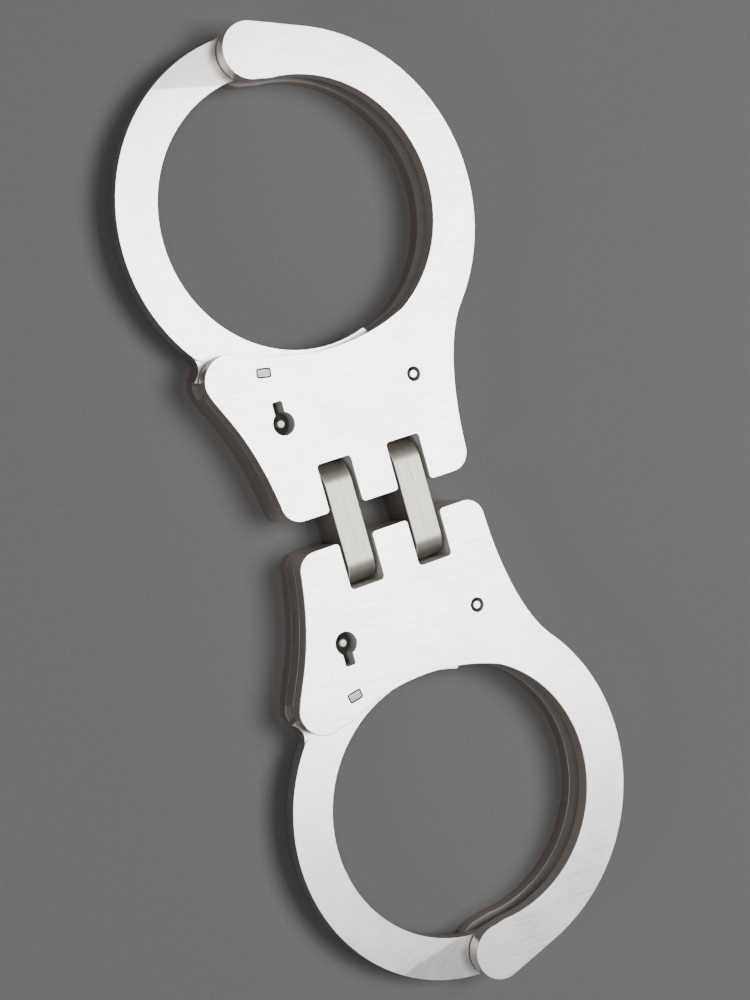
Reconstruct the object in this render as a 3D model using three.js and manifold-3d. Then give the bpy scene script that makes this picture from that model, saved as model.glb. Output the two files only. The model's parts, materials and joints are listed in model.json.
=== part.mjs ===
// Hinged handcuffs: two equal cuffs, mirror images of each other across Y = 0, joined by two links.
// Millimetres, +Z up. The pair lies flat on Z = 0, with its length along Y.
// Each cuff is drawn in a frame of its own: origin at the centre of the ring, +Y towards the strand's pivot,
// -Y towards the hinge, z = 0 at the underside.
import * as THREE from 'three';
import { mergeVertices } from 'three/addons/utils/BufferGeometryUtils.js';
import Module from 'manifold-3d';

const wasm = await Module();
wasm.setup();

// ---------- driving dimensions ----------
const ringRadius = 31;            // inside of the ring, on the cheek plates
const armWidth = 12.3;            // width of the cheek plates round the ring
const lockLength = 30.2;          // ring's edge to the hinge axis
const plateThickness = 3.7;       // each cheek plate
const coreThickness = 4.4;        // space between the cheek plates, and the pieces that fill it
const slideClearance = 0.2;       // each side of a moving piece between the plates
const pinClearance = 0.05;        // radial, round a pin that something turns on
const fixedClearance = 0.02;      // radial, round a flush rivet
const layerSeam = 0.1;            // between two fixed pieces of the middle layer

const pivotX = -4;                // strand's pivot
const pivotOffset = 0.85;         // strand's pivot, outside the middle of the arm's width
const noseOverhang = 0.45;        // radius of the plates' rounded end at the pivot, over half the arm's width
const pivotRadius = 3;

const strandInset = 0.65;         // strand's inner edge is this much wider than the ring
const strandWidth = 9.85;
const toothReach = 6.6;           // ring's edge to the tooth tips, under the pivot
const toothDepth = 1.4;
const toothCount = 14;
const firstToothX = -27.5;
const strandTipX = 8.5;
const ratchetGap = 0.12;          // strand's tooth tips to the pawl's
const rimWidth = 5.7;             // thin rim that carries the strand's teeth, from its step to the tooth tips
const rimStep = 0.4;              // how far the rim's faces lie below the strand's
const rimSlope = 0.8;             // width of the sloped step
const neckX = -37.2;              // outer corner of the rim, where the strand enters the lock
const reliefX = -12;              // where each of the strand's two relieved faces begins, on its inner edge
const reliefTurn = 9.5;           // from the X axis to the line along which a relieved face begins (degrees)
const reliefSlope = 3;            // fall of a relieved face towards the pivot (degrees)

const hingeSpacing = 18;          // between the two hinge axes
const hingeX = -2.4;              // middle of the hinge
const hingeHalfWidth = 24.6;
const fingerReach = 5.4;          // hinge axis to the fingers' ends
const fingerCorner = 4.6;
const hingePinRadius = 1.6;
const linkOffset = 9.1;           // middle of the hinge to the middle of a link
const linkWidth = 6.9;
const linkRadius = 5.25;
const linkSideClearance = 0.9;
const linkEndClearance = 0.55;
const linkSeam = 0.04;
const blockDepth = 7.5;           // hinge axis to the top of the hinge block

const rivetRadius = 2.4;
const hingeRivetOffset = 20.4;    // middle of the hinge to each outer finger's rivet
const hingeRivetDrop = 1.2;

const keyholeX = -20.8;
const keyholeDepth = 13.2;        // ring's edge to the keyhole's centre
const keyholeRadius = 2.7;
const keySlotLength = 5.2;
const keySlotWidth = 2.5;
const keyPostRadius = 1;
const keyBitRadius = 5;           // the space that a turning key needs
const keyPostRecess = 1.6;

const pushPinX = 14.05;
const pushPinDepth = 11.05;
const pushPinRadius = 1;
const pushPinHoleRadius = 1.75;
const pushPinLength = 6.4;
const doubleLockTravel = 2;       // travel of the double-lock bar

const tenonX = -22.2;
const tenonDepth = 1;
const tenonLength = 3;
const tenonWidth = 1.7;
const tenonCorner = 0.25;
const tenonTurn = -10;            // degrees
const tenonGap = 0.3;
const spacerDepth = 2.9;          // ring's edge to the top of the lock's left wall

const pawlPinX = 4.5;
const pawlPinDepth = 12.6;
const pawlPinRadius = 1.5;
const pawlBossRadius = 3.6;
const pawlTeeth = 4;
const pawlDepth = 4.1;            // tooth roots to the lower edge of the pawl's arm
const pawlArmX = -15;             // end of the pawl's arm
const barGap = 0.3;               // double-lock bar to the pawl's foot and to the spring
const springPostX = 6.9;
const springPostGap = 1.2;        // pawl's boss to the centre of the spring's post
const springPostRadius = 0.7;
const springThickness = 0.45;

const chordSag = 0.02;            // how far a facet's middle lies inside its true arc

// ---------- derived places ----------
const thickness = 2 * plateThickness + coreThickness;
const coreZ = plateThickness;
const frontZ = plateThickness + coreThickness;
const pieceThickness = coreThickness - 2 * slideClearance;
const noseRadius = armWidth / 2 + noseOverhang;
const pivotY = ringRadius + armWidth / 2 + pivotOffset;
const hingeY = -(ringRadius + lockLength);
const fingerEndY = hingeY - fingerReach;
const blockTopY = hingeY + blockDepth;
const notchTopY = hingeY + linkRadius + linkEndClearance;
const notchHalfWidth = linkWidth / 2 + linkSideClearance;
const outerRadius = ringRadius + armWidth;
const outerCentre = new THREE.Vector2(-1.6, -0.9);
const strandInnerRadius = ringRadius + strandInset;
const strandOuterRadius = strandInnerRadius + strandWidth;
const strandMidRadius = strandInnerRadius + strandWidth / 2;
const strandCentre = new THREE.Vector2(pivotX + 0.5, pivotY - Math.sqrt(strandMidRadius ** 2 - 0.25));
const tipSweep = pivotY + ringRadius + toothReach;
const rootSweep = tipSweep - toothDepth;
const lockSweep = tipSweep + 0.5;
const belowRing = (depth) => -(ringRadius + depth);
const keyholeY = belowRing(keyholeDepth);
const pushPinY = belowRing(pushPinDepth);
const pawlPinY = belowRing(pawlPinDepth);
const springPostY = pawlPinY - pawlBossRadius - springPostGap;
const springEyeRadius = springPostRadius + pinClearance + springThickness;
const spacerInnerX = keyholeX - keyBitRadius - 0.4;
const blockWallX = hingeX + hingeHalfWidth - 2.7;
// The hinge pin is held between the right finger's rivet and the blind end of its bore.
const hingePinStart = hingeX - hingeRivetOffset + rivetRadius + 1.2;
const hingePinEnd = hingeX + hingeRivetOffset - rivetRadius - 0.3;
const blindDepth = plateThickness * 0.6;
const blindPinLength = coreThickness + 2 * blindDepth - 0.2;
const blindPinZ = coreZ - blindDepth + 0.1;
const pawlFootY = keyholeY - keyBitRadius - 0.4;
const barTopY = Math.min(pawlFootY, springPostY - springEyeRadius) - barGap;
const radians = THREE.MathUtils.degToRad;

// ---------- outlines ----------
function arc(x, y, radius, from, to) {
  const step = 2 * Math.acos(1 - chordSag / radius);
  const count = Math.max(2, Math.ceil(Math.abs(radians(to - from)) / step));
  const at = (i) => radians(from + ((to - from) * i) / count);
  return Array.from({ length: count + 1 }, (_, i) => new THREE.Vector2(
    x + radius * Math.cos(at(i)), y + radius * Math.sin(at(i))));
}

function curve(start, startHandle, endHandle, end) {
  return new THREE.CubicBezierCurve(start, startHandle, endHandle, end).getPoints(16);
}

const point = (x, y) => new THREE.Vector2(x, y);
const angleOf = (x, y) => THREE.MathUtils.radToDeg(Math.atan2(y, x));

// A point at this x, on the lower half of a circle round the strand's pivot.
const sweepPoint = (radius, x) => point(x, pivotY - Math.sqrt(radius ** 2 - (x - pivotX) ** 2));

// Angle, seen from the strand's pivot, of the point at this x on the lower half of that circle.
const sweepAngle = (radius, x) => angleOf(x - pivotX, -Math.sqrt(radius ** 2 - (x - pivotX) ** 2));

function onSweep(radius, angle) {
  return point(pivotX + radius * Math.cos(radians(angle)), pivotY + radius * Math.sin(radians(angle)));
}

const firstToothAngle = sweepAngle(rootSweep, firstToothX);
const lastToothAngle = sweepAngle(rootSweep, strandTipX - 1.5);
const toothPitch = (lastToothAngle - firstToothAngle) / toothCount;

// The hinge end, from the left side round the three fingers to the right side.
function fingerOutline() {
  const left = hingeX - hingeHalfWidth;
  const right = hingeX + hingeHalfWidth;
  const small = 0.9;
  const notch = (middle) => [
    ...arc(middle - notchHalfWidth - small, fingerEndY + small, small, -90, 0),
    ...arc(middle - notchHalfWidth + small, notchTopY - small, small, 180, 90),
    ...arc(middle + notchHalfWidth - small, notchTopY - small, small, 90, 0),
    ...arc(middle + notchHalfWidth + small, fingerEndY + small, small, 180, 270),
  ];
  return [
    ...arc(left + fingerCorner, fingerEndY + fingerCorner, fingerCorner, 180, 270),
    ...notch(hingeX - linkOffset),
    ...notch(hingeX + linkOffset),
    ...arc(right - fingerCorner, fingerEndY + fingerCorner, fingerCorner, -90, 0),
  ];
}

// One cheek plate: the arm from its nose round the right of the ring, and the lock body down to the fingers.
function cheekOutline() {
  const toNose = point(pivotX - outerCentre.x, pivotY - outerCentre.y);
  const spread = THREE.MathUtils.radToDeg(Math.acos((outerRadius - noseRadius) / toNose.length()));
  const noseAngle = angleOf(toNose.x, toNose.y) - spread;
  const flatStart = point(15.8, -Math.sqrt(ringRadius ** 2 - 15.8 ** 2));
  const flatRadius = ringRadius + 20;
  const flatX = -4.5;
  const flatY = flatStart.y + Math.sqrt(flatRadius ** 2 - (flatStart.x - flatX) ** 2);
  const flatEnd = angleOf(-24.4 - flatX, -Math.sqrt(flatRadius ** 2 - (24.4 + flatX) ** 2));
  const mouth = { x: -30.3, y: belowRing(1), radius: 6.3 };
  const mouthEnd = point(mouth.x - mouth.radius, mouth.y);
  const fingers = fingerOutline();
  const leftEnd = fingers[0];
  const rightStart = fingers[fingers.length - 1];
  const sideAngle = -41;
  const sideX = outerCentre.x + outerRadius * Math.cos(radians(sideAngle));
  const sideY = outerCentre.y + outerRadius * Math.sin(radians(sideAngle));
  return [
    ...arc(outerCentre.x, outerCentre.y, outerRadius, sideAngle, noseAngle),
    ...arc(pivotX, pivotY, noseRadius, noseAngle, 270),
    ...arc(0, 0, ringRadius, 92, angleOf(flatStart.x, flatStart.y)),
    ...arc(flatX, flatY, flatRadius, angleOf(flatStart.x - flatX, flatStart.y - flatY), flatEnd).slice(1),
    ...arc(mouth.x, mouth.y, mouth.radius, 75, 180),
    ...curve(mouthEnd, point(mouthEnd.x + 0.8, mouthEnd.y - 5), point(leftEnd.x - 2.6, leftEnd.y + 19),
      leftEnd).slice(1, -1),
    ...fingers,
    ...curve(rightStart, point(rightStart.x + 0.4, rightStart.y + 14),
      point(sideX - 5.1, sideY - 5.8), point(sideX, sideY)).slice(1, -1),
  ];
}

// The single strand: a plain bow from the pivot to a hollow neck, then a toothed end whose tips lie on a
// circle round the pivot. The steep side of each tooth faces the way that the strand opens.
function strandOutline() {
  const { x, y } = strandCentre;
  const pivotAngle = angleOf(pivotX - x, pivotY - y);
  const bow = arc(x, y, strandOuterRadius, pivotAngle, 218.6);
  const bowEnd = bow[bow.length - 1];
  const neck = sweepPoint(tipSweep, neckX);
  const rim = arc(pivotX, pivotY, tipSweep, sweepAngle(tipSweep, neckX) + 360, firstToothAngle + 360);
  const teeth = Array.from({ length: toothCount }, (_, i) => [
    onSweep(rootSweep, firstToothAngle + toothPitch * i),
    onSweep(tipSweep, firstToothAngle + toothPitch * (i + 0.15)),
  ]).flat();
  const tipInnerX = strandTipX - 2 - x;
  const tipInnerY = -Math.sqrt(strandInnerRadius ** 2 - tipInnerX ** 2);
  const tipInner = point(x + tipInnerX, y + tipInnerY);
  const tipOuter = onSweep(rootSweep, lastToothAngle);
  return [
    ...bow,
    ...curve(bowEnd, point(bowEnd.x + 1.3, bowEnd.y - 2.1), point(neck.x + 1.9, neck.y + 1.7),
      neck).slice(1, -1),
    ...rim,
    ...teeth,
    ...curve(tipOuter, point(strandTipX, tipOuter.y + 0.6), point(strandTipX, tipInner.y - 1.6),
      tipInner).slice(0, -1),
    ...arc(x, y, strandInnerRadius, angleOf(tipInnerX, tipInnerY), pivotAngle - 360),
    ...arc(pivotX, pivotY, strandWidth / 2, pivotAngle - 180, pivotAngle).slice(1, -1),
  ];
}

// The pawl: a boss on its pin, an arm under the strand with teeth that match the strand's, and a tail that
// passes beside the key post and ends in a foot under it. A toe on the tail faces the double-lock bar.
function pawlOutline() {
  const tips = tipSweep + ratchetGap;
  const roots = tips + toothDepth;
  const tailX = -12.4;
  const footBottom = pawlFootY - 1.3;
  const footEndX = keyholeX - 1.7;
  const first = Math.ceil((sweepAngle(roots, pawlArmX) - firstToothAngle) / toothPitch);
  const teeth = Array.from({ length: pawlTeeth }, (_, i) => [
    onSweep(tips, firstToothAngle + toothPitch * (first + i + 0.08)),
    onSweep(roots, firstToothAngle + toothPitch * (first + i + 0.28)),
  ]).flat();
  const lower = roots + pawlDepth;
  return [
    sweepPoint(roots, pawlArmX),
    ...teeth,
    sweepPoint(roots, pawlPinX - 2.4),
    ...arc(pawlPinX, pawlPinY, pawlBossRadius, 75, -150),
    sweepPoint(lower, pawlPinX - 6),
    sweepPoint(lower, tailX + 1),
    point(tailX, sweepPoint(lower, tailX).y - 1),
    point(tailX, pawlFootY + 1.4),
    point(tailX + 2.2, pawlFootY + 0.9),
    point(tailX + 2.2, pawlFootY),
    point(tailX, pawlFootY),
    point(tailX, footBottom),
    point(footEndX, footBottom),
    point(footEndX, pawlFootY),
    point(pawlArmX, pawlFootY),
  ];
}

// The double-lock bar: a foot that slides under the pawl's toe, and an upright with a slot for the push pin.
function barOutline() {
  const bottom = blockTopY + 0.2;
  const endX = -9.4;
  const uprightX = pushPinX - 2.65;
  const rightX = blockWallX - 0.5;
  return [
    point(endX, bottom),
    point(rightX, bottom),
    point(rightX, belowRing(8.2)),
    point(uprightX, belowRing(8.2)),
    point(uprightX, barTopY),
    point(endX, barTopY),
  ];
}

// The slot lets the bar slide under the push pin.
function barSlotOutline() {
  const half = pushPinRadius + slideClearance;
  return [
    ...arc(pushPinX, pushPinY, half, 90, 270),
    ...arc(pushPinX + doubleLockTravel, pushPinY, half, -90, 90),
  ];
}

// The pawl's leaf spring: an eye round its post and a leg to a free end under the pawl's arm.
function springOutline() {
  const eye = springEyeRadius - springThickness / 2;
  const middle = [
    ...arc(springPostX, springPostY, eye, -150, 95),
    ...curve(point(springPostX - 0.6, springPostY + eye - 0.12), point(springPostX - 4, springPostY + 0.9),
      point(0, springPostY + 1), point(-8, belowRing(13.9))).slice(1),
  ];
  const half = springThickness / 2;
  const side = (sign) => middle.map((here, i) => {
    const before = middle[Math.max(0, i - 1)];
    const after = middle[Math.min(middle.length - 1, i + 1)];
    const along = after.clone().sub(before).normalize();
    return point(here.x - along.y * half * sign, here.y + along.x * half * sign);
  });
  return [...side(1), ...side(-1).reverse()];
}

function keyholeOutline() {
  const half = keySlotWidth / 2;
  const slotX = keyholeX - 0.3;
  const corner = 0.5;
  const cornerY = keyholeY + keySlotLength - corner;
  const edgeAngle = (x) => angleOf(x - keyholeX, Math.sqrt(keyholeRadius ** 2 - (x - keyholeX) ** 2));
  return [
    ...arc(keyholeX, keyholeY, keyholeRadius, edgeAngle(slotX - half), edgeAngle(slotX + half) + 360),
    ...arc(slotX + half - corner, cornerY, corner, 0, 90),
    ...arc(slotX - half + corner, cornerY, corner, 90, 180),
  ];
}

function roundedRectangle(width, height, corner) {
  const x = width / 2 - corner;
  const y = height / 2 - corner;
  return [
    ...arc(x, y, corner, 0, 90), ...arc(-x, y, corner, 90, 180),
    ...arc(-x, -y, corner, 180, 270), ...arc(x, -y, corner, 270, 360),
  ];
}

// ---------- solids ----------
function toSolid(geometry) {
  const bare = geometry.index ? geometry.toNonIndexed() : geometry;
  bare.deleteAttribute('normal');
  bare.deleteAttribute('uv');
  const merged = mergeVertices(bare, 1e-5);
  const mesh = new wasm.Mesh({
    numProp: 3,
    vertProperties: new Float32Array(merged.attributes.position.array),
    triVerts: new Uint32Array(merged.index.array),
  });
  return new wasm.Manifold(mesh);
}

function toGeometry(solid) {
  const mesh = solid.getMesh();
  const geometry = new THREE.BufferGeometry();
  geometry.setAttribute('position', new THREE.BufferAttribute(mesh.vertProperties, 3));
  geometry.setIndex(new THREE.BufferAttribute(mesh.triVerts, 1));
  geometry.computeVertexNormals();
  return geometry;
}

// A flat piece with this outline, from one height to another.
function slab(outline, from, to) {
  const options = { depth: to - from, bevelEnabled: false };
  return toSolid(new THREE.ExtrudeGeometry(new THREE.Shape(outline), options).translate(0, 0, from));
}

function cylinder(radius, length) {
  const sides = Math.ceil(Math.PI / Math.acos(1 - chordSag / radius));
  return new THREE.CylinderGeometry(radius, radius, length, sides);
}

// A round solid along Z.
function round(x, y, radius, from, to) {
  return toSolid(cylinder(radius, to - from).rotateX(Math.PI / 2).translate(x, y, (from + to) / 2));
}

// A round solid along X, at the hinge axis and at half the core's height.
function hingeBore(radius, fromX, toX) {
  const geometry = cylinder(radius, toX - fromX).rotateZ(Math.PI / 2);
  return toSolid(geometry.translate((fromX + toX) / 2, hingeY, coreThickness / 2));
}

function block(fromX, toX, fromY, toY, fromZ, toZ) {
  const geometry = new THREE.BoxGeometry(toX - fromX, toY - fromY, toZ - fromZ);
  return toSolid(geometry.translate((fromX + toX) / 2, (fromY + toY) / 2, (fromZ + toZ) / 2));
}

const cutAll = (solid, tools) => tools.reduce((left, tool) => left.subtract(tool), solid);

// ---------- places of the flush rivets ----------
const rivetPlaces = {
  hinge_rivet_left: point(hingeX - hingeRivetOffset, hingeY - hingeRivetDrop),
  hinge_rivet_right: point(hingeX + hingeRivetOffset, hingeY - hingeRivetDrop),
  spacer_rivet: point(spacerInnerX - rivetRadius - 0.1, belowRing(8.2)),
};
const rivetHoles = (from, to) => Object.values(rivetPlaces).map(({ x, y }) =>
  round(x, y, rivetRadius + fixedClearance, from, to));

// ---------- pieces of one cuff ----------
// Holes that both cheek plates share. Blind ones are open towards the core, on the side that blindZ is on.
function cheekBlank(blindFrom, blindTo) {
  return cutAll(slab(cheekOutline(), 0, plateThickness), [
    ...rivetHoles(-1, plateThickness + 1),
    round(pivotX, pivotY, pivotRadius + fixedClearance, -1, plateThickness + 1),
    round(pawlPinX, pawlPinY, pawlPinRadius + fixedClearance, blindFrom, blindTo),
    round(springPostX, springPostY, springPostRadius + fixedClearance, blindFrom, blindTo),
  ]);
}

function backCheek() {
  return cutAll(cheekBlank(plateThickness - blindDepth, plateThickness + 1), [
    round(keyholeX, keyholeY, keyPostRadius + fixedClearance, -1, plateThickness + 1),
  ]);
}

function frontCheek() {
  const around = 2 * tenonGap;
  const hole = roundedRectangle(tenonLength + around, tenonWidth + around, tenonCorner + tenonGap);
  const tenonHole = slab(hole, -1, plateThickness + 1).rotate([0, 0, tenonTurn]);
  return cutAll(cheekBlank(-1, blindDepth), [
    slab(keyholeOutline(), -1, plateThickness + 1),
    round(pushPinX, pushPinY, pushPinHoleRadius, -1, plateThickness + 1),
    tenonHole.translate([tenonX, belowRing(tenonDepth), 0]),
  ]);
}

// The middle layer at the hinge: three fingers, and a wall up the right side of the lock.
function hingeBlock() {
  const layer = slab(cheekOutline(), 0, coreThickness);
  const right = outerRadius + 1;
  const comb = layer.intersect(block(-right, right, fingerEndY - 1, blockTopY, 0, coreThickness));
  const wall = layer.intersect(block(blockWallX, right, blockTopY - 1, belowRing(1), 0, coreThickness));
  return cutAll(comb.add(wall), [
    ...rivetHoles(-1, coreThickness + 1),
    round(pivotX, pivotY, lockSweep, -1, coreThickness + 1),
    hingeBore(hingePinRadius + pinClearance, hingePinStart - 0.4, right),
  ]);
}

// The middle layer's left wall, up to the mouth that the strand enters by.
function lockSpacer() {
  const layer = slab(cheekOutline(), 0, coreThickness);
  const piece = layer.intersect(block(-outerRadius, spacerInnerX, blockTopY + layerSeam,
    belowRing(spacerDepth), 0, coreThickness));
  return cutAll(piece, [
    ...rivetHoles(-1, coreThickness + 1),
    round(pivotX, pivotY, lockSweep, -1, coreThickness + 1),
  ]);
}

// What the relief takes off one face of the strand: it starts on a line and deepens towards the pivot.
function reliefCut() {
  const reach = strandOuterRadius;
  const cut = new THREE.BoxGeometry(2 * reach, reach, pieceThickness);
  cut.translate(0, reach / 2, pieceThickness / 2);
  cut.rotateX(-radians(reliefSlope)).rotateZ(-radians(reliefTurn));
  const innerY = strandCentre.y + Math.sqrt(strandInnerRadius ** 2 - (reliefX - strandCentre.x) ** 2);
  return cut.translate(reliefX, innerY, 0);
}

// What is taken off one face of the strand along its rim, beyond a sloped step round the pivot.
function rimCut() {
  const stepRadius = tipSweep - rimWidth;
  const sides = cylinder(stepRadius, 1).parameters.radialSegments;
  const kept = new THREE.CylinderGeometry(stepRadius, stepRadius + rimSlope, rimStep, sides);
  kept.rotateX(Math.PI / 2).translate(pivotX, pivotY, -rimStep / 2);
  return round(pivotX, pivotY, tipSweep + 1, -rimStep, 0).subtract(toSolid(kept));
}

function strand() {
  const relief = toSolid(reliefCut());
  return cutAll(slab(strandOutline(), 0, pieceThickness), [
    round(pivotX, pivotY, pivotRadius + pinClearance, -1, pieceThickness + 1),
    relief.translate([0, 0, pieceThickness]),
    relief.mirror([0, 0, 1]),
    rimCut().translate([0, 0, pieceThickness]),
    rimCut().mirror([0, 0, 1]),
  ]);
}

function pawl() {
  return slab(pawlOutline(), 0, pieceThickness).subtract(
    round(pawlPinX, pawlPinY, pawlPinRadius + pinClearance, -1, pieceThickness + 1));
}

function doubleLockBar() {
  return slab(barOutline(), 0, pieceThickness).subtract(slab(barSlotOutline(), -1, pieceThickness + 1));
}

function linkPlate() {
  const outline = [
    ...arc(0, hingeSpacing / 2, linkRadius, 0, 180),
    ...arc(0, -hingeSpacing / 2, linkRadius, 180, 360),
  ];
  const width = (linkWidth - linkSeam) / 2;
  return cutAll(slab(outline, 0, width), [1, -1].map((end) =>
    round(0, (end * hingeSpacing) / 2, hingePinRadius + pinClearance, -1, width + 1)));
}

// ---------- assembly ----------
const finishes = {
  plate: { color: 0xe6e7e8, roughness: 0.24 },
  core: { color: 0x8d8985, roughness: 0.42 },
  strand: { color: 0xe2e3e3, roughness: 0.24 },
  link: { color: 0xc9c7c0, roughness: 0.34 },
  pin: { color: 0xd4d5d6, roughness: 0.3 },
  spring: { color: 0x9aa0a6, roughness: 0.35 },
};

function mesh(name, solid, finish, x = 0, y = 0, z = 0) {
  const material = new THREE.MeshStandardMaterial({ ...finishes[finish], metalness: 1 });
  const piece = new THREE.Mesh(toGeometry(solid), material);
  piece.name = name;
  piece.position.set(x, y, z);
  return piece;
}

// The widest the pair reaches to each side, from the strand's bow to the arm.
const leftmost = strandCentre.x - strandOuterRadius;
const rightmost = outerCentre.x + outerRadius;
const centreX = -(leftmost + rightmost) / 2;

function cuff(letter) {
  const group = new THREE.Group();
  const movingZ = coreZ + slideClearance;
  const add = (name, ...rest) => group.add(mesh(`${name}_${letter}`, ...rest));
  add('cheek_plate_back', backCheek(), 'plate');
  add('cheek_plate_front', frontCheek(), 'plate', 0, 0, frontZ);
  add('hinge_block', hingeBlock(), 'core', 0, 0, coreZ);
  add('lock_spacer', lockSpacer(), 'core', 0, 0, coreZ);
  add('ratchet_strand', strand(), 'strand', 0, 0, movingZ);
  add('strand_pivot_rivet', round(0, 0, pivotRadius, 0, thickness), 'plate', pivotX, pivotY);
  add('pawl', pawl(), 'core', 0, 0, movingZ);
  add('pawl_pin', round(0, 0, pawlPinRadius, 0, blindPinLength), 'pin', pawlPinX, pawlPinY, blindPinZ);
  add('spring_post', round(0, 0, springPostRadius, 0, blindPinLength), 'pin',
    springPostX, springPostY, blindPinZ);
  add('pawl_spring', slab(springOutline(), 0, pieceThickness), 'spring', 0, 0, movingZ);
  add('double_lock_bar', doubleLockBar(), 'core', 0, 0, movingZ);
  add('double_lock_push_pin', round(0, 0, pushPinRadius, 0, pushPinLength), 'pin',
    pushPinX, pushPinY, thickness - 0.1 - pushPinLength);
  add('key_post', round(0, 0, keyPostRadius, 0, thickness - keyPostRecess), 'pin', keyholeX, keyholeY);
  add('guide_tenon', slab(roundedRectangle(tenonLength, tenonWidth, tenonCorner), 0, plateThickness), 'plate',
    tenonX, belowRing(tenonDepth), frontZ);
  group.children.at(-1).rotation.z = radians(tenonTurn);
  for (const [name, { x, y }] of Object.entries(rivetPlaces)) {
    add(name, round(0, 0, rivetRadius, 0, thickness), 'plate', x, y);
  }
  return group;
}

// A hinge pin lies along X.
function hingePin(letter) {
  const length = hingePinEnd - hingePinStart;
  const piece = mesh(`hinge_pin_${letter}`, round(0, 0, hingePinRadius, 0, length), 'pin',
    hingePinStart, 0, thickness / 2);
  piece.rotation.y = Math.PI / 2;
  return piece;
}

function links() {
  const group = new THREE.Group();
  for (const [side, sign] of [['left', -1], ['right', 1]]) {
    const startX = hingeX + sign * linkOffset - linkWidth / 2;
    const places = { outer: sign < 0 ? 0 : 1, inner: sign < 0 ? 1 : 0 };
    for (const [layer, step] of Object.entries(places)) {
      const piece = mesh(`${side}_link_${layer}`, linkPlate(), 'link',
        startX + (step * (linkWidth + linkSeam)) / 2, 0, thickness / 2);
      piece.rotation.y = Math.PI / 2;
      group.add(piece);
    }
  }
  return group;
}

const group = new THREE.Group();
const ringY = hingeSpacing / 2 - hingeY;
const cuffA = cuff('a');
cuffA.position.y = ringY;
const cuffB = cuff('b');
cuffB.position.y = -ringY;
cuffB.scale.y = -1;
const pair = new THREE.Group();
pair.position.x = centreX;
pair.add(cuffA, cuffB, links());
for (const [letter, sign] of [['a', 1], ['b', -1]]) {
  const pin = hingePin(letter);
  pin.position.y = (sign * hingeSpacing) / 2;
  pair.add(pin);
}
group.add(pair);

export default group;
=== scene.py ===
import json
from math import radians

import bmesh
import bpy
from mathutils import Euler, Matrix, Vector

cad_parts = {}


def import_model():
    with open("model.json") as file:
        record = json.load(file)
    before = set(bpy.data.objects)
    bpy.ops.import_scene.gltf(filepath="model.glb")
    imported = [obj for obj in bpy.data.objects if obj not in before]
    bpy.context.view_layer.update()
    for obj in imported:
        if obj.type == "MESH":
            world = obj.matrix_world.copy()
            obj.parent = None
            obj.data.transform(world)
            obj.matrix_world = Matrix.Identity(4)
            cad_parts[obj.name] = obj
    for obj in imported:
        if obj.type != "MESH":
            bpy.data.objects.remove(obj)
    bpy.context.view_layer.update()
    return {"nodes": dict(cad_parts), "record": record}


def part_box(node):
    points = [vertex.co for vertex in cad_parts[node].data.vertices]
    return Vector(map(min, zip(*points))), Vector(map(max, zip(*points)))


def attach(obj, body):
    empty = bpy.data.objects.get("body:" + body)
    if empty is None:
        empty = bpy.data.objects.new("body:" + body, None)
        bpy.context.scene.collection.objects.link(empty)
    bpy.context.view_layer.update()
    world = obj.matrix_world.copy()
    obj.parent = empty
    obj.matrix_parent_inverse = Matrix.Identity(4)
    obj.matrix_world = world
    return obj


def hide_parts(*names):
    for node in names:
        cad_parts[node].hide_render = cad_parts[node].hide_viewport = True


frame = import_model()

MM = 0.001
SHARP = radians(28)             # edges of the CAD mesh that are sharper than this are real edges
CREASE = radians(1)             # flat faces that meet at more than this keep a crease
FLAT = radians(0.4)             # neighbouring facets closer than this are one face
MERGE = 0.002 * MM
LEVEL = 0.9                     # a face's normal along Z, from which it counts as looking up or down
NEAR = 0.2 * MM                 # how close to a plane counts as on it


# ---------- node helpers ----------
class Nodes:
    """Short calls for building one material's node tree."""

    def __init__(self, material):
        material.use_nodes = True
        self.tree = material.node_tree
        self.shader = self.tree.nodes["Principled BSDF"]
        place = self.tree.nodes.new("ShaderNodeTexCoord")
        self.where = place.outputs["Object"]
        self.normal = place.outputs["Normal"]

    def add(self, kind, inputs=None, **settings):
        node = self.tree.nodes.new(kind)
        for name, value in settings.items():
            setattr(node, name, value)
        for name, value in (inputs or {}).items():
            self.feed(node.inputs[name], value)
        return node

    def feed(self, socket, value):
        if isinstance(value, bpy.types.NodeSocket):
            self.tree.links.new(value, socket)
        else:
            socket.default_value = value

    def stretched(self, stretch, turn=0.0):
        """The object's own coordinates, turned about Z and then scaled."""
        turned = self.add("ShaderNodeMapping", {"Vector": self.where, "Rotation": (0, 0, turn)})
        return self.add("ShaderNodeMapping", {"Vector": turned.outputs[0], "Scale": stretch}).outputs[0]

    def noise(self, vector, scale=1.0, detail=2.0, roughness=0.5):
        node = self.add("ShaderNodeTexNoise",
                        {"Vector": vector, "Scale": scale, "Detail": detail, "Roughness": roughness})
        return node.outputs["Fac"]

    def ramp(self, value, low, high, start=0.0, end=1.0):
        node = self.add("ShaderNodeMapRange", {
            "Value": value, "From Min": low, "From Max": high, "To Min": start, "To Max": end})
        return node.outputs["Result"]

    def maths(self, operation, a, b):
        node = self.add("ShaderNodeMath", operation=operation)
        self.feed(node.inputs[0], a)
        self.feed(node.inputs[1], b)
        return node.outputs[0]

    def mix(self, factor, a, b):
        node = self.add("ShaderNodeMix", {"Factor": factor}, data_type="RGBA")
        self.feed(node.inputs["A"], a)
        self.feed(node.inputs["B"], b)
        return node.outputs["Result"]

    def upness(self):
        """1 on a face that looks up or down, 0 on a side wall."""
        parts = self.add("ShaderNodeSeparateXYZ", {"Vector": self.normal})
        return self.ramp(self.maths("ABSOLUTE", parts.outputs["Z"], 0.0), 0.25, 0.85)


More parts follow.
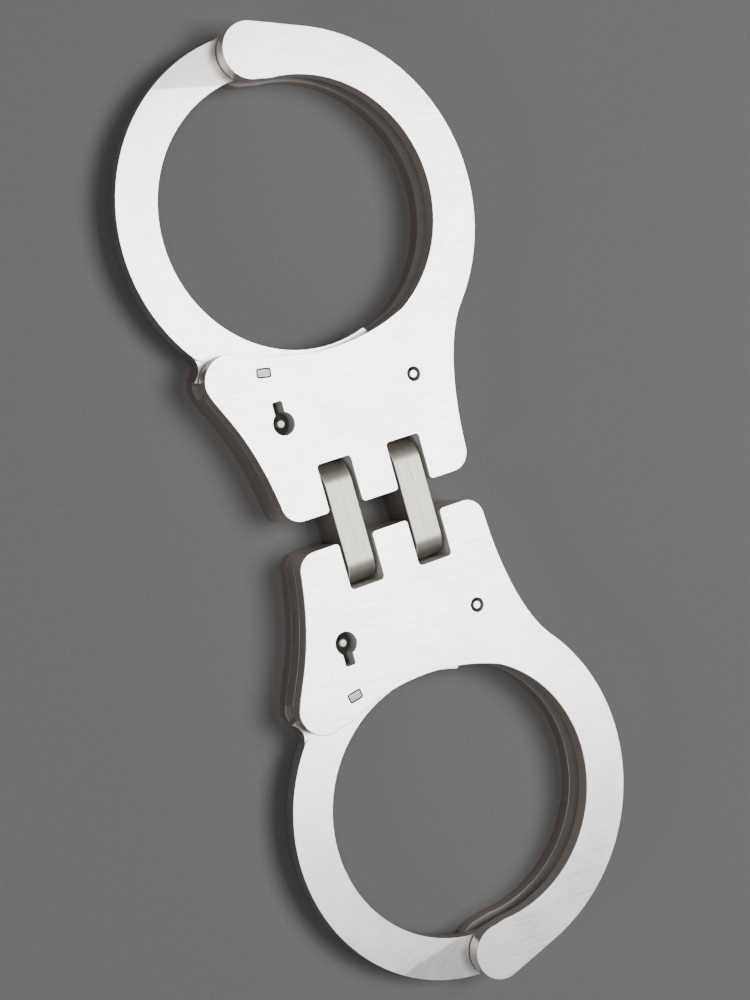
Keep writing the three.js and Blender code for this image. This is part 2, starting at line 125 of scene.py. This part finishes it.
def scratches(nodes, turn, density):
    """Thin broken hairlines that run along one direction: 1 on a scratch and 0 off it."""
    lines = nodes.noise(nodes.stretched((5200, 90, 5200), turn), detail=1.0)
    patches = nodes.noise(nodes.stretched((160, 60, 160), turn + 0.6), detail=1.0)
    hairs = nodes.ramp(lines, density, density + 0.03)
    return nodes.maths("MULTIPLY", hairs, nodes.ramp(patches, 0.5, 0.62))


def steel(name, face, dull, wall, roughness, wall_roughness=0.34, grain=(130, 4200, 4200), grain_turn=0.0,
          grain_depth=0.05, scratch_density=0.73, scratch_depth=0.16):
    """Plated steel: cloudy colour, a fine grain, hairline scratches and pits, and satin side walls whose
    darker colour is painted shade.
    """
    material = bpy.data.materials.new(name)
    nodes = Nodes(material)
    up = nodes.upness()
    clouds = nodes.noise(nodes.where, 70.0, 3.0, 0.55)
    brushing = nodes.noise(nodes.stretched(grain, grain_turn), detail=3.0, roughness=0.6)
    fine = nodes.maths("MAXIMUM", scratches(nodes, 0.35, scratch_density),
                       scratches(nodes, -0.9, scratch_density + 0.015))
    fine = nodes.maths("MULTIPLY", fine, up)
    pits = nodes.maths("MULTIPLY", nodes.ramp(nodes.noise(nodes.where, 1500.0, 1.0), 0.76, 0.79), up)
    tint = nodes.mix(nodes.ramp(clouds, 0.35, 0.65), (*dull, 1), (*face, 1))
    worn = nodes.maths("ADD", nodes.maths("MULTIPLY", fine, 0.05), nodes.maths("MULTIPLY", pits, 0.3))
    darker = tuple(channel * 0.55 for channel in dull)
    tint = nodes.mix(worn, tint, (*darker, 1))
    streaks = nodes.noise(nodes.stretched((900, 900, 90)), detail=2.0)
    # Side walls get the wall colour, streaked: darker and browner than the face, it is painted shade and a
    # painted reflection of the shaded floor beside them.
    side = nodes.mix(streaks, (*(channel * 0.8 for channel in wall), 1), (*wall, 1))
    nodes.feed(nodes.shader.inputs["Base Color"], nodes.mix(up, side, tint))
    nodes.shader.inputs["Metallic"].default_value = 1.0
    grained = nodes.maths("MULTIPLY", nodes.ramp(brushing, 0.3, 0.7, -1.0, 1.0), 0.05)
    smudged = nodes.maths("MULTIPLY", nodes.ramp(clouds, 0.3, 0.7, -1.0, 1.0), 0.03)
    plain = nodes.ramp(up, 0, 1, wall_roughness, roughness)
    rough = nodes.maths("ADD", nodes.maths("ADD", grained, smudged), plain)
    rough = nodes.maths("ADD", rough, nodes.maths("MULTIPLY", fine, 0.1))
    nodes.feed(nodes.shader.inputs["Roughness"], rough)
    relief = nodes.maths("SUBTRACT", nodes.maths("MULTIPLY", brushing, grain_depth),
                         nodes.maths("MULTIPLY", nodes.maths("ADD", fine, pits), scratch_depth))
    bump = nodes.add("ShaderNodeBump", {"Height": relief, "Strength": 0.3, "Distance": 0.00008})
    nodes.feed(nodes.shader.inputs["Normal"], bump.outputs["Normal"])
    return material


# In each steel look below, the fourth colour is for the side walls: darker and browner than the face, it is
# painted shade.
METALS = {
    "cheek_steel": steel("cheek_nickel", (0.86, 0.86, 0.855), (0.82, 0.82, 0.815), (0.72, 0.62, 0.56), 0.3,
                         grain_turn=radians(8)),
    "strand_steel": steel("strand_nickel", (0.85, 0.85, 0.84), (0.80, 0.80, 0.79), (0.55, 0.49, 0.45), 0.29,
                          grain_turn=radians(-25)),
    "core_steel": steel("core_plating", (0.55, 0.50, 0.47), (0.42, 0.38, 0.36), (0.66, 0.59, 0.55), 0.3,
                        grain_depth=0.1),
    "link_steel": steel("link_satin", (0.47, 0.462, 0.405), (0.39, 0.382, 0.33), (0.52, 0.49, 0.45), 0.4,
                        grain=(5200, 80, 5200), grain_depth=0.12),
    "pin_steel": steel("turned_pin", (0.85, 0.85, 0.84), (0.74, 0.74, 0.73), (0.6, 0.58, 0.56), 0.25,
                       grain=(2600, 2600, 60)),
    "spring_steel": steel("blued_spring", (0.36, 0.38, 0.44), (0.24, 0.25, 0.30), (0.3, 0.31, 0.36), 0.32),
}
POST_END = steel("turned_post", (0.50, 0.50, 0.48), (0.38, 0.38, 0.36), (0.5, 0.48, 0.45), 0.42,
                 grain=(2600, 2600, 60))
TENON_END = steel("filed_tenon", (0.40, 0.40, 0.385), (0.30, 0.30, 0.29), (0.2, 0.19, 0.18), 0.42,
                  grain=(90, 2600, 2600), grain_turn=radians(-10), grain_depth=0.2)
# Looks of single pieces that differ from the rest of their slot, by the start of the piece's name.
OWN_LOOKS = {"guide_tenon": TENON_END, "key_post": POST_END}


def raw_steel(name, dark, light):
    """Unplated steel, dull, cloudy and grainy."""
    material = bpy.data.materials.new(name)
    nodes = Nodes(material)
    clouds = nodes.noise(nodes.where, 300.0, 4.0, 0.6)
    nodes.feed(nodes.shader.inputs["Base Color"], nodes.mix(clouds, (*dark, 1), (*light, 1)))
    nodes.feed(nodes.shader.inputs["Roughness"], nodes.ramp(clouds, 0.3, 0.7, 0.5, 0.7))
    nodes.shader.inputs["Metallic"].default_value = 0.2
    bump = nodes.add("ShaderNodeBump", {"Height": clouds, "Strength": 0.3, "Distance": 0.0001})
    nodes.feed(nodes.shader.inputs["Normal"], bump.outputs["Normal"])
    return material


def painted_edge_highlight():
    """Rounded edges in a patchy colour, paler than the walls they join: a painted highlight along the
    edges.
    """
    material = bpy.data.materials.new("painted_edge_highlight")
    nodes = Nodes(material)
    highlight_patches = nodes.noise(nodes.where, 420.0, 3.0, 0.6)
    colour = nodes.mix(highlight_patches, (0.74, 0.725, 0.70, 1), (0.93, 0.92, 0.90, 1))
    nodes.feed(nodes.shader.inputs["Base Color"], colour)
    nodes.feed(nodes.shader.inputs["Roughness"], nodes.ramp(highlight_patches, 0.3, 0.7, 0.3, 0.5))
    nodes.shader.inputs["Metallic"].default_value = 0.7
    return material


# Two copies of one dull steel: the darker one, inside the lock, is painted shade; the paler one, on the
# walls of holes and notches, is painted light for light bouncing into them.
LOCK_INSIDE_PAINTED_SHADE = raw_steel("lock_inside_painted_shade", (0.38, 0.36, 0.335), (0.50, 0.48, 0.45))
HOLE_WALL_PAINTED_LIGHT = raw_steel("hole_wall_painted_light", (0.64, 0.61, 0.57), (0.80, 0.77, 0.72))
# The rounded edges' pale colour is a painted highlight, standing in for light caught on the bevels.
PAINTED_EDGE_HIGHLIGHT = painted_edge_highlight()

# ---------- finished pieces ----------
# Width of the rounded edge on each kind of piece, in millimetres, by the start of its name.
EDGES = {
    "cheek_plate": 0.45,
    "ratchet_strand": 0.4,
    "hinge_block": 0.3,
    "lock_spacer": 0.3,
    "left_link": 0.2,
    "right_link": 0.2,
    "guide_tenon": 0.1,
    "double_lock_push_pin": 0.2,
    "key_post": 0.4,
}
PLAIN_EDGE = 0.1
FLUSH_EDGE = 0.015
# Holes in the cheek plates, by the piece that each is for: room to search round it, and the width of its
# rim, both in millimetres.
RIMS = {
    "hinge_rivet_left": (0.1, FLUSH_EDGE),
    "hinge_rivet_right": (0.1, FLUSH_EDGE),
    "spacer_rivet": (0.1, FLUSH_EDGE),
    "strand_pivot_rivet": (0.1, FLUSH_EDGE),
    "guide_tenon": (0.4, 0.08),
    "key_post": (5.0, 0.16),
    "double_lock_push_pin": (1.0, 0.14),
}


def edge_width(node):
    return next((width for start, width in EDGES.items() if node.startswith(start)), PLAIN_EDGE)


def rim_boxes(node):
    """The boxes on this plate's cuff whose edges get a rim width of their own."""
    boxes = []
    for piece, (room, width) in RIMS.items():
        low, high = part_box(f"{piece}_{node[-1]}")
        space = room * MM
        boxes.append((low[0] - space, high[0] + space, low[1] - space, high[1] + space, width))
    return boxes


def rim_width(boxes, place, plain):
    for x_low, x_high, y_low, y_high, width in boxes:
        if x_low < place.x < x_high and y_low < place.y < y_high:
            return width
    return plain


def link_seam(node):
    """Where the two plates of this plate's link meet, along X."""
    side = node.split("_link_")[0]
    inner, outer = (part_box(f"{side}_link_{layer}") for layer in ("inner", "outer"))
    return (max(inner[0][0], outer[0][0]) + min(inner[1][0], outer[1][0])) / 2


def merged_copy(node):
    """A copy of a CAD node's mesh: flat faces joined, a bevel width on each edge, creases kept sharp."""
    mesh = frame["nodes"][node].data.copy()
    work = bmesh.new()
    work.from_mesh(mesh)
    bmesh.ops.remove_doubles(work, verts=work.verts, dist=MERGE)
    bmesh.ops.dissolve_limit(work, angle_limit=FLAT, verts=work.verts, edges=work.edges)
    work.normal_update()
    weight = work.edges.layers.float.new("bevel_weight_edge")
    plain = edge_width(node)
    flush = "rivet" in node
    boxes = rim_boxes(node) if node.startswith("cheek_plate") else []
    seam = link_seam(node) if "_link_" in node else None
    for edge in work.edges:
        if len(edge.link_faces) != 2:
            continue
        angle = edge.calc_face_angle(0.0)
        if angle > SHARP:
            middle = (edge.verts[0].co + edge.verts[1].co) / 2
            narrow = flush or (seam is not None and abs(middle.x - seam) < NEAR)
            edge[weight] = FLUSH_EDGE if narrow else rim_width(boxes, middle, plain)
        elif angle > CREASE and all(abs(face.normal.z) > LEVEL for face in edge.link_faces):
            edge.smooth = False
    for face in work.faces:
        face.smooth = True
    work.to_mesh(mesh)
    work.free()
    return mesh


def link_boxes():
    """The room round each hinge link, up to the walls of the notches it turns in."""
    room = 1.5 * MM
    boxes = []
    for side in ("left", "right"):
        plates = [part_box(f"{side}_link_{layer}") for layer in ("inner", "outer")]
        low = [min(box[0][axis] for box in plates) for axis in (0, 1)]
        high = [max(box[1][axis] for box in plates) for axis in (0, 1)]
        boxes.append((low[0] - room, high[0] + room, low[1] - room, high[1] + room))
    return boxes


def mark_inside(mesh, node):
    """Give the unplated looks to a plate's face towards the lock's inside, darker as painted shade, and to
    the walls of its holes and notches, paler as painted light.
    """
    lock_inside_index = len(mesh.materials)
    mesh.materials.append(LOCK_INSIDE_PAINTED_SHADE)
    mesh.materials.append(HOLE_WALL_PAINTED_LIGHT)
    low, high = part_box(node)
    inner = high[2] if "back" in node else low[2]
    boxes = link_boxes() + [box[:4] for box in rim_boxes(node)]
    for face in mesh.polygons:
        x, y, z = face.center
        flat = abs(face.normal.z) > LEVEL
        within = any(box[0] < x < box[1] and box[2] < y < box[3] for box in boxes)
        if flat and abs(z - inner) < NEAR:
            face.material_index = lock_inside_index
        elif not flat and within:
            face.material_index = lock_inside_index + 1


def finished(node, body):
    """The visible piece for one CAD node: rounded edges, smooth round walls, flat faces, and its metal."""
    mesh = merged_copy(node)
    edge_index = 1
    piece = bpy.data.objects.new(f"{node}_finished", mesh)
    bpy.context.scene.collection.objects.link(piece)
    mesh.materials.clear()
    own = next((look for start, look in OWN_LOOKS.items() if node.startswith(start)), None)
    mesh.materials.append(own or METALS[SLOTS[node]])
    # The bevels get the pale edge colour, a painted highlight.
    mesh.materials.append(PAINTED_EDGE_HIGHLIGHT)
    if node.startswith(("cheek_plate", "hinge_block")):
        mark_inside(mesh, node)
    bevel = piece.modifiers.new("rounded_edges", "BEVEL")
    bevel.width = MM
    bevel.segments = 3
    bevel.material = edge_index
    bevel.limit_method = "WEIGHT"
    bevel.loop_slide = False
    bevel.use_clamp_overlap = True
    shading = piece.modifiers.new("flat_faces", "WEIGHTED_NORMAL")
    shading.mode = "FACE_AREA"
    shading.weight = 100
    shading.keep_sharp = True
    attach(piece, body)
    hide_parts(node)
    return piece


SLOTS = {part["node"]: part["material_slot"] for part in frame["record"]["subparts"]}
for body, nodes_of_body in frame["record"]["behaviour"]["bodies"].items():
    for node in nodes_of_body:
        finished(node, body)


# ---------- floor, lights and camera ----------
def floor():
    """A plain, slightly mottled floor under the object."""
    bpy.ops.mesh.primitive_plane_add(size=8, location=(0, 0, 0))
    plane = bpy.context.object
    plane.name = "floor"
    material = bpy.data.materials.new("plain_floor")
    nodes = Nodes(material)
    mottle = nodes.noise(nodes.where, 900.0, 4.0, 0.6)
    nodes.feed(nodes.shader.inputs["Base Color"],
               nodes.mix(mottle, (0.178, 0.178, 0.18, 1), (0.222, 0.222, 0.224, 1)))
    nodes.shader.inputs["Roughness"].default_value = 0.85
    bump = nodes.add("ShaderNodeBump", {"Height": mottle, "Strength": 0.2, "Distance": 0.0002})
    nodes.feed(nodes.shader.inputs["Normal"], bump.outputs["Normal"])
    plane.data.materials.append(material)


def area_light(name, direction, distance, size, power):
    """A square soft light that faces the object from this direction."""
    data = bpy.data.lights.new(name, "AREA")
    data.shape = "SQUARE"
    data.size = size
    data.energy = power
    light = bpy.data.objects.new(name, data)
    bpy.context.scene.collection.objects.link(light)
    light.location = Vector(direction).normalized() * distance
    light.rotation_euler = Vector(direction).to_track_quat("Z", "Y").to_euler()
    return light


def world():
    """A dim studio, brighter where the metal reflects it."""
    scene_world = bpy.data.worlds.new("studio")
    bpy.context.scene.world = scene_world
    scene_world.use_nodes = True
    tree = scene_world.node_tree
    background = tree.nodes["Background"]
    background.inputs["Color"].default_value = (0.9, 0.92, 0.95, 1)
    path = tree.nodes.new("ShaderNodeLightPath")
    strength = tree.nodes.new("ShaderNodeMapRange")
    strength.inputs["To Min"].default_value = 0.05
    strength.inputs["To Max"].default_value = 0.45
    tree.links.new(path.outputs["Is Glossy Ray"], strength.inputs["Value"])
    tree.links.new(strength.outputs["Result"], background.inputs["Strength"])


def camera():
    """The camera, above the pair and on the strands' side of it."""
    data = bpy.data.cameras.new("camera")
    data.lens = 72.1
    data.sensor_width = 36
    data.clip_start = 0.01
    data.clip_end = 50
    view = bpy.data.objects.new("camera", data)
    bpy.context.scene.collection.objects.link(view)
    view.location = Vector((-195.3, 54.9, 425.7)) * MM
    view.rotation_euler = Euler((radians(0.96), radians(-25.73), radians(-17.26)), "XYZ")
    bpy.context.scene.camera = view


floor()
area_light("softbox", (0.45, -0.03, 1.04), 1.13, 0.6, 8.6)
area_light("left_glint", (-0.93, -0.1, 0.34), 1.5, 0.4, 3.2)
area_light("front_fill", (-0.42, 0.12, 0.9), 1.2, 0.5, 1.8)
world()
camera()


bpy.context.view_layer.update()
